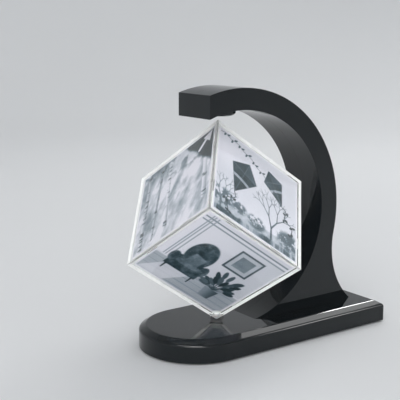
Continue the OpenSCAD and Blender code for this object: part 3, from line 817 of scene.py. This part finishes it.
def kite(picture, x, y, middle, size, turn, tone):
    c, s = math.cos(turn), math.sin(turn)

    def at(u, v):
        return (middle[0] + size * (u * c - v * s), middle[1] + size * (u * s + v * c))

    nose, left, tail, right = at(0, 0.62), at(-0.5, 0.12), at(0, -0.85), at(0.5, 0.12)
    across = ((x - middle[0]) * c + (y - middle[1]) * s) / size
    along = ((y - middle[1]) * c - (x - middle[0]) * s) / size
    folds = 0.16 * (cloud(x * 2 + y, y - x, 0.05, 43) - 0.5)
    billow = tone + folds + 0.2 * np.abs(across) + 0.06 * (along + 0.85)
    sail = patch(x, y, [nose, left, tail, right])
    picture = lay(picture, billow, sail)
    picture = lay(picture, billow + 0.14, 0.85 * patch(x, y, [at(0, 0.12), right, nose]))
    picture = lay(picture, billow + 0.07, 0.85 * patch(x, y, [at(0, 0.12), left, tail]))
    band = ramp(0.06, 0.045, np.abs(along + 0.22 + 0.3 * across ** 2))
    picture = lay(picture, 0.78 + folds, 0.9 * sail * band)
    for start, end in ((left, right), (nose, tail)):
        picture = lay(picture, 0.75, 0.7 * stroke(x, y, start, end, 0.004, 0.004, 0.002))
    last = tail
    for k in range(1, 10):
        point = at(0.13 * math.sin(1.3 * k), -0.85 - 0.14 * k)
        picture = lay(picture, 0.25, stroke(x, y, last, point, 0.01, 0.009, 0.002))
        if k % 2 == 0:
            for side in (-1, 1):
                # each bow of the tail has two wings
                wing = (point[0] + 0.02 * side * math.cos(turn), point[1] + 0.02 * side * math.sin(turn))
                picture = lay(picture, tone, oval(x, y, wing, 0.02, 0.012, turn + 0.5 * side * k))
        last = point
    return picture


# The six pictures

def kitesOverMeadow(x, y):
    picture = 1.0 - 0.1 * cloud(x, y * 1.8, 0.55, 31)
    ridge = 0.17 + 0.03 * np.sin(5 * x + 1.2) + 0.02 * cloud(x, 0 * y, 0.2, 33)
    picture = lay(picture, 0.7 + 0.2 * cloud(x, y, 0.03, 34), ramp(0.01, -0.01, y - ridge))
    for middle, wide in (((0.1, 0.2), 0.13), ((0.3, 0.19), 0.08), ((0.9, 0.17), 0.14), ((0.5, 0.15), 0.1)):
        bush = oval(x, y, middle, wide, wide * 0.75, 0, 0.3) * ramp(0.38, 0.55, cloud(x, y, 0.03, 35))
        picture = lay(picture, 0.36, 0.9 * bush)
    picture = bareTree(picture, x, y, (0.68, 0.06), 0.5, 0.3, 41)
    picture = bareTree(picture, x, y, (0.08, 0.08), 0.36, 0.4, 47)
    picture = grassBand(picture, x, y, 0.06, 0.75, 0.25, 37)
    picture = kite(picture, x, y, (0.7, 0.74), 0.26, 0.5, 0.12)
    picture = kite(picture, x, y, (0.32, 0.6), 0.32, -0.35, 0.1)
    last = (0.02, 0.96)
    for k in range(1, 18):
        # a leafy twig hangs along the top
        point = (0.02 + 0.045 * k, 0.96 - 0.0013 * k * k + 0.012 * math.sin(1.7 * k))
        picture = lay(picture, 0.4, stroke(x, y, last, point, 0.007, 0.005, 0.002))
        leaf = (point[0] + 0.004, point[1] - 0.018 if k % 2 else point[1] + 0.016)
        picture = lay(picture, 0.38, oval(x, y, leaf, 0.022, 0.01, 1.1 if k % 2 else 0.5))
        last = point
    return picture


def birchWood(x, y):
    slope = cloud(x * 2.6 - y * 1.3, y * 0.9 + x * 0.5, 0.32, 51, 6)
    picture = 0.86 + 1.2 * (slope - 0.5)
    picture += 0.3 * (cloud(x, y, 0.05, 53, 4) - 0.5)
    for low, high in (((0.5, 0.0), (0.62, 0.5)), ((0.66, 0.02), (0.8, 0.4))):
        # light falls through the trees in soft bands
        picture = lay(picture, 0.98, 0.7 * stroke(x, y, low, high, 0.07, 0.03, 0.03))
    trunks = ((0.1, 0.055, 0.01), (0.25, 0.04, 0.05), (0.43, 0.05, -0.03), (0.93, 0.06, -0.05))
    for k, (foot, wide, lean) in enumerate(trunks):
        trunk = stroke(x, y, (foot, 0.04 + 0.05 * k), (foot + lean, 1.1), wide, wide * 0.7, 0.005)
        marks = ramp(0.6, 0.7, cloud(x, y * 7, 0.12, 61 + k, 3))
        shade = ramp(-0.5, 0.5, (x - foot) / wide)
        picture = lay(picture, 1.0 - 0.35 * shade - 0.6 * marks, trunk)
    leaves = cloud(x, y, 0.09, 71, 5)
    crown = ramp(0.7, 1.0, y + 0.3 * (cloud(x, y, 0.3, 73) - 0.5) + 0.2 * (x - 0.5))
    picture = lay(picture, 0.12 + 0.75 * ramp(0.45, 0.62, leaves),
                  crown * ramp(0.3, 0.5, leaves + 0.2 * crown))
    # a white arrow in a dark corner shows which corner goes up
    picture = lay(picture, 0.02, ramp(0.46, 0.38, (1 - x) + (1 - y) + 0.1 * (leaves - 0.5)))
    picture = lay(picture, 1.0, stroke(x, y, (0.81, 0.82), (0.91, 0.925), 0.036, 0.036, 0.003))
    return lay(picture, 1.0, patch(x, y, [(0.972, 0.985), (0.85, 0.945), (0.945, 0.85)]))


def plantByWindow(x, y):
    picture = 0.97 - 0.1 * x + 0.05 * cloud(x, y, 0.5, 81)
    for line, tone in ((0.9, 0.62), (0.925, 0.97), (0.945, 0.55), (0.97, 0.95)):
        picture = lay(picture, tone, ramp(0.011, 0.006, np.abs(y - line)))
    for line in (0.075, 0.1, 0.135):
        picture = lay(picture, 0.66, ramp(0.008, 0.003, np.abs(x - line)) * ramp(0.3, 0.31, y))
    # floorboards, the skirting, and the sunlight on the floor
    gaps = ramp(0.004, 0.001, np.abs((y * 14) % 1 - 0.5) / 14)
    picture = lay(picture, 0.7 + 0.12 * cloud(x, y * 6, 0.3, 83) - 0.16 * gaps, ramp(0.3, 0.29, y))
    picture = lay(picture, 0.95, ramp(0.012, 0.006, np.abs(y - 0.305)))
    picture = lay(picture, 0.97, 0.75 * patch(x, y, [(0.02, 0.02), (0.3, 0.02), (0.48, 0.27), (0.2, 0.27)]))
    # a framed print on the wall
    picture = lay(picture, 0.3, block(x, y, 0.54, 0.56, 0.82, 0.84))
    picture = lay(picture, 0.82, block(x, y, 0.56, 0.58, 0.8, 0.82))
    picture = lay(picture, 0.4 + 0.3 * cloud(x, y, 0.1, 85), block(x, y, 0.6, 0.62, 0.76, 0.78))
    # an armchair: its back and body, the seat, the arms, a pillow and the feet
    cloth = 0.02 + 0.5 * cloud(x * 2 + y, y * 2 - x, 0.1, 87)
    chair = np.maximum(oval(x, y, (0.34, 0.52), 0.14, 0.19, 0, 0.06),
                       oval(x, y, (0.33, 0.34), 0.2, 0.1, 0, 0.06))
    picture = lay(picture, cloth, np.maximum(chair, block(x, y, 0.15, 0.22, 0.51, 0.36)))
    picture = lay(picture, cloth + 0.14, oval(x, y, (0.33, 0.345), 0.15, 0.035, 0, 0.2))
    for arm in (0.165, 0.5):
        picture = lay(picture, cloth + 0.08, oval(x, y, (arm, 0.36), 0.045, 0.075, 0, 0.1))
    pillow = patch(x, y, [(0.27, 0.38), (0.41, 0.36), (0.43, 0.5), (0.29, 0.52)], 0.012)
    picture = lay(picture, 0.5 + 0.9 * (y - 0.44) + 0.3 * (cloud(x, y, 0.04, 89) - 0.5), pillow)
    for foot in (0.18, 0.48):
        picture = lay(picture, 0.15, stroke(x, y, (foot, 0.23), (foot, 0.15), 0.02, 0.012))
    # a plant in its pot
    picture = lay(picture, 0.62 - 0.3 * ramp(0.66, 0.8, x),
                  patch(x, y, [(0.665, 0.1), (0.775, 0.1), (0.8, 0.24), (0.64, 0.24)]))
    dice = np.random.default_rng(91)
    for k in range(24):
        turn = dice.uniform(0.1, math.pi - 0.1)
        reach = dice.uniform(0.1, 0.27)
        tip = (0.72 + 0.75 * reach * math.cos(turn), 0.25 + reach * math.sin(turn))
        picture = lay(picture, 0.25, stroke(x, y, (0.72, 0.24), tip, 0.007, 0.004, 0.002))
        picture = lay(picture, dice.uniform(0.1, 0.42), oval(x, y, tip, 0.055, 0.022, turn, 0.15))
    return picture


def lakeAndHills(x, y):
    shore = 0.4
    ripple = 0.02 * (cloud(x, y * 14, 0.3, 111) - 0.5)
    height = np.where(y < shore, 2 * shore - y + ripple, y)  # the water mirrors what stands above it
    picture = 1.0 - 0.45 * ramp(0.35, 0.75, cloud(x, height * 2.2, 0.5, 101)) * ramp(0.5, 0.9, height)
    picture = lay(picture, 1.0, 0.9 * oval(x, height, (0.7, 0.78), 0.05, 0.05, 0, 0.2))
    for k, (level, tone) in enumerate(((0.7, 0.68), (0.59, 0.46), (0.48, 0.22))):
        ridge = level + 0.34 * (cloud(x, 0 * y + k, 0.4, 103 + k) - 0.5)
        slope = tone + 0.3 * (cloud(x * 2, height * 3 - x, 0.1, 107 + k) - 0.5)
        picture = lay(picture, slope, ramp(0.004, -0.004, height - ridge))
    streaks = 0.25 * (cloud(x, y * 12, 0.4, 113) - 0.5)
    picture = lay(picture, picture * 0.72 + streaks, ramp(0.4, 0.39, y))
    # the jetty and its posts
    for start, end, wide in (((0.98, 0.1), (0.6, 0.25), 0.035), ((0.64, 0.25), (0.64, 0.18), 0.014),
                             ((0.78, 0.19), (0.78, 0.1), 0.016), ((0.92, 0.13), (0.92, 0.03), 0.018)):
        picture = lay(picture, 0.16, stroke(x, y, start, end, wide))
    picture = pine(picture, x, y, (0.13, 0.06), 0.82, 0.07, 117)
    picture = pine(picture, x, y, (0.34, 0.1), 0.5, 0.12, 119)
    return grassBand(picture, x, y, 0.07, 0.42, 0.1, 115)


def sailingBoats(x, y):
    picture = 0.9 - 0.22 * cloud(x, y * 1.6, 0.6, 121)
    sea = 0.5 + 0.35 * (cloud(x * 1.5, y * 11, 0.5, 123) - 0.45)
    picture = lay(picture, sea, ramp(0.42, 0.41, y))
    for left, low, size in ((0.16, 0.3, 0.5), (0.62, 0.38, 0.28)):
        # two sails, the mast and the hull, measured in lengths of the boat
        u, v, soft = (x - left) / size, (y - low) / size, 0.004 / size
        picture = lay(picture, 0.97, patch(u, v, [(0.44, 0.1), (0.84, 0.12), (0.45, 1.05)], soft))
        picture = lay(picture, 0.8, patch(u, v, [(0, 0.12), (0.4, 0.1), (0.4, 0.9)], soft))
        picture = lay(picture, 0.16, stroke(u, v, (0.42, 0), (0.42, 1.1), 0.012, soft=soft))
        hull = patch(u, v, [(0.1, -0.06), (0.72, -0.06), (0.9, 0.06), (-0.02, 0.06)], soft)
        picture = lay(picture, 0.14, hull)
    return picture


def townRoofs(x, y):
    picture = 0.92 - 0.15 * cloud(x, y, 0.5, 131)
    dice = np.random.default_rng(137)
    tiles = 0.16 * ramp(0.3, 0.5, np.abs((y * 60 + x * 4) % 1 - 0.5))
    for level, tone in ((0.52, 0.66), (0.34, 0.5), (0.14, 0.36)):
        for k in range(5):
            left = -0.08 + 0.23 * k + dice.uniform(-0.03, 0.03)
            high = level + dice.uniform(-0.04, 0.1)
            wide = dice.uniform(0.17, 0.22)
            right = left + wide
            picture = lay(picture, tone + dice.uniform(-0.05, 0.12), block(x, y, left, -0.1, right, high))
            roof = patch(x, y, [(left - 0.015, high), (right + 0.015, high), (left + wide / 2, high + 0.12)])
            picture = lay(picture, tone - 0.22 + tiles, roof)
            for floor in (0.05, 0.135):
                for side in (0.3, 0.7):
                    u, v = left + side * wide, high - floor
                    picture = lay(picture, 0.12, block(x, y, u - 0.014, v - 0.022, u + 0.014, v + 0.022))
    return picture


# Photo prints, each painted on a fine grid over its card

prints = {
    "cells": 200,  # along a side
    "dark": (0.012, 0.024, 0.028),
    "light": (0.75, 0.74, 0.81),
    "contrast": 2.2,
    "fade": (1.16, 1.0, 0.94),  # how fast red, green and blue fall from light to dark
    "margin": 0.012,  # white paper left round each picture
    "marginSoft": 0.005,
    "cornerCut": 9.2,  # the cards end this far from the cube's point, mm
    "edgeTone": (0.8, 0.8, 0.8, 1),  # of the paper's cut edges and its back
}
cards = {
    # card: its picture, and the cover whose outward direction is up in the picture
    "upper_card_1": (lakeAndHills, "upper_cover_2"),
    "upper_card_2": (birchWood, "upper_cover_1"),
    "upper_card_3": (kitesOverMeadow, "upper_cover_1"),
    "lower_card_1": (plantByWindow, "upper_cover_3"),
    "lower_card_2": (sailingBoats, "upper_cover_1"),
    "lower_card_3": (townRoofs, "upper_cover_2"),
}


def makePrint(nodeName, paint, upName):
    pieceName = "print_" + nodeName.replace("_card", "")
    out = faceOut[nodeName.replace("card", "cover")]
    up = faceOut[upName]
    ways = (up.cross(out), up, out)
    points = [vertex.co for vertex in nodes[nodeName].data.vertices]
    (left, right), (low, high), (back, front) = [
        (min(p.dot(way) for p in points), max(p.dot(way) for p in points)) for way in ways]
    cells = prints["cells"]
    steps = np.linspace(0, 1, cells + 1)
    x, y = np.meshgrid(steps, steps, indexing="ij")

    # the picture inside its margin, in the tones of the print
    inside = np.minimum(np.minimum(x, 1 - x), np.minimum(y, 1 - y))
    border = ramp(prints["margin"] + prints["marginSoft"], prints["margin"], inside)
    grey = lay(np.clip(paint(x, y), 0, 1), 1, border) ** prints["contrast"]
    dark, light = np.array(prints["dark"]), np.array(prints["light"])
    tones = dark + grey[..., None] ** np.array(prints["fade"]) * (light - dark)

    # the front of the card, which is cut away round the cube's point
    axes = [np.array(way) for way in ways]
    places = ((left + x * (right - left))[..., None] * axes[0] + (low + y * (high - low))[..., None] * axes[1]
              + front * axes[2])
    tip = np.array((spinX, 0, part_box("pivot_tip")[0][2]))
    kept = np.linalg.norm(places - tip, axis=2) >= prints["cornerCut"] * mm
    shape = bmesh.new()
    layer = shape.verts.layers.float_color.new("tones")
    tops = {}
    for i in range(cells + 1):
        for j in range(cells + 1):
            if kept[i, j]:
                tops[i, j] = shape.verts.new(places[i, j])
                tops[i, j][layer] = (*tones[i, j], 1)
    for i in range(cells):
        for j in range(cells):
            ring = [(i, j), (i + 1, j), (i + 1, j + 1), (i, j + 1)]
            if all(key in tops for key in ring):
                shape.faces.new([tops[key] for key in ring])

    # its edges and its plain back
    rim = [edge for edge in shape.edges if edge.is_boundary]
    grown = bmesh.ops.extrude_edge_only(shape, edges=rim)["geom"]
    lower = [item for item in grown if isinstance(item, bmesh.types.BMVert)]
    bmesh.ops.translate(shape, verts=lower, vec=out * (back - front))
    for vertex in lower:
        vertex[layer] = prints["edgeTone"]
    backRim = [item for item in grown if isinstance(item, bmesh.types.BMEdge) and item.is_boundary]
    bmesh.ops.holes_fill(shape, edges=backRim, sides=0)
    loose = [vertex for vertex in shape.verts if not vertex.link_faces]
    bmesh.ops.delete(shape, geom=loose, context="VERTS")
    mesh = bpy.data.meshes.new(pieceName)
    shape.to_mesh(mesh)
    shape.free()
    standFor(newPiece(pieceName, mesh, photoPrint), nodeName, "cube")


for nodeName, values in cards.items():
    makePrint(nodeName, *values)
print("prints painted")


# Studio: a pale bowl, open at the top, round the object

studio = {
    "flat": 1.3,  # radius of the flat floor, m
    "bend": 0.9,  # radius of the curve between floor and wall, m
    "wall": 2.4,  # height of the rim, m
    "turns": 96,  # faces round the bowl
    "bendSteps": 12,
    "tone": (0.79, 0.8, 0.81),
    "fibres": 0.985,  # tone of the paper's darker fibres, as a share of its own
    "sky": (0.94, 0.96, 0.98),
    "skyStrength": 0.42,
}
lamps = {
    # lamp: place, target, width, depth, watts
    "key": ((-1.5, -0.9, 1.7), (0, 0, 0.08), 1.2, 1.2, 10),
    "front": ((-1.06, -1.33, 0.42), (0, 0, 0.08), 1.2, 0.6, 9.5),
    "top": ((0.3, 0.5, 2.0), (0, 0, 0.05), 1.6, 1.0, 4),
    "side": ((1.15, 0.42, 1.2), (0, 0, 0), 0.9, 0.9, 7),
}
glints = {
    # small lamps that only gloss shows: they draw bright lines along the rounded edges
    "backGlint": ((1.17, 0.7, 1.03), (0.03, -0.06, 0.016), 0.3, 0.3, 8),
    "frontGlint": ((1.15, -1.1, 0.75), (0.03, -0.06, 0.016), 0.3, 0.3, 3),
    "noseGlint": ((-0.79, -1.05, 1.05), (-0.08, -0.035, 0.016), 0.6, 0.12, 5),
}


def buildStudio():
    material, tree, shader = startMaterial("studioPaper", {"Roughness": 0.9, "Specular IOR Level": 0.1})
    fibres = addPlaced(tree, "ShaderNodeTexNoise", inputs={"Scale": 6, "Detail": 3})
    darker = tuple(studio["fibres"] * part for part in studio["tone"])
    twoTones(tree, fibres.outputs["Fac"], studio["tone"], darker, shader.inputs["Base Color"])
    flat, bend, turns = studio["flat"], studio["bend"], studio["turns"]
    profile = [(flat / 2, 0), (flat, 0)]
    for k in range(studio["bendSteps"]):
        turn = math.pi / 2 * (k + 1) / studio["bendSteps"]
        profile.append((flat + bend * math.sin(turn), bend * (1 - math.cos(turn))))
    profile.append((flat + bend, studio["wall"]))
    spokes = [(math.cos(math.tau * k / turns), math.sin(math.tau * k / turns)) for k in range(turns)]
    shape = bmesh.new()
    rings = [[shape.verts.new((radius * c, radius * s, z)) for c, s in spokes] for radius, z in profile]
    middle = shape.verts.new((0, 0, 0))
    for k in range(turns):
        following = (k + 1) % turns
        shape.faces.new((middle, rings[0][k], rings[0][following]))
        for inner, outer in zip(rings, rings[1:]):
            shape.faces.new((inner[k], outer[k], outer[following], inner[following]))
    for face in shape.faces:
        face.smooth = True
    mesh = bpy.data.meshes.new("studio_bowl")
    shape.to_mesh(mesh)
    shape.free()
    newPiece("studio_bowl", mesh, material)


def buildLight():
    for name, (place, target, width, depth, watts) in {**lamps, **glints}.items():
        lamp = bpy.data.lights.new(name, "AREA")
        lamp.shape = "RECTANGLE"
        lamp.size, lamp.size_y = width, depth
        lamp.energy = watts
        holder = bpy.data.objects.new(name, lamp)
        holder.location = place
        holder.rotation_euler = (Vector(target) - Vector(place)).to_track_quat("-Z", "Y").to_euler()
        holder.visible_diffuse = name not in glints
        bpy.context.scene.collection.objects.link(holder)
    world = bpy.data.worlds.new("sky")
    world.use_nodes = True
    sky = world.node_tree.nodes["Background"]
    sky.inputs["Color"].default_value = (*studio["sky"], 1)
    sky.inputs["Strength"].default_value = studio["skyStrength"]
    bpy.context.scene.world = world


buildStudio()
buildLight()
bpy.context.scene.view_settings.view_transform = "Standard"
print("studio built")
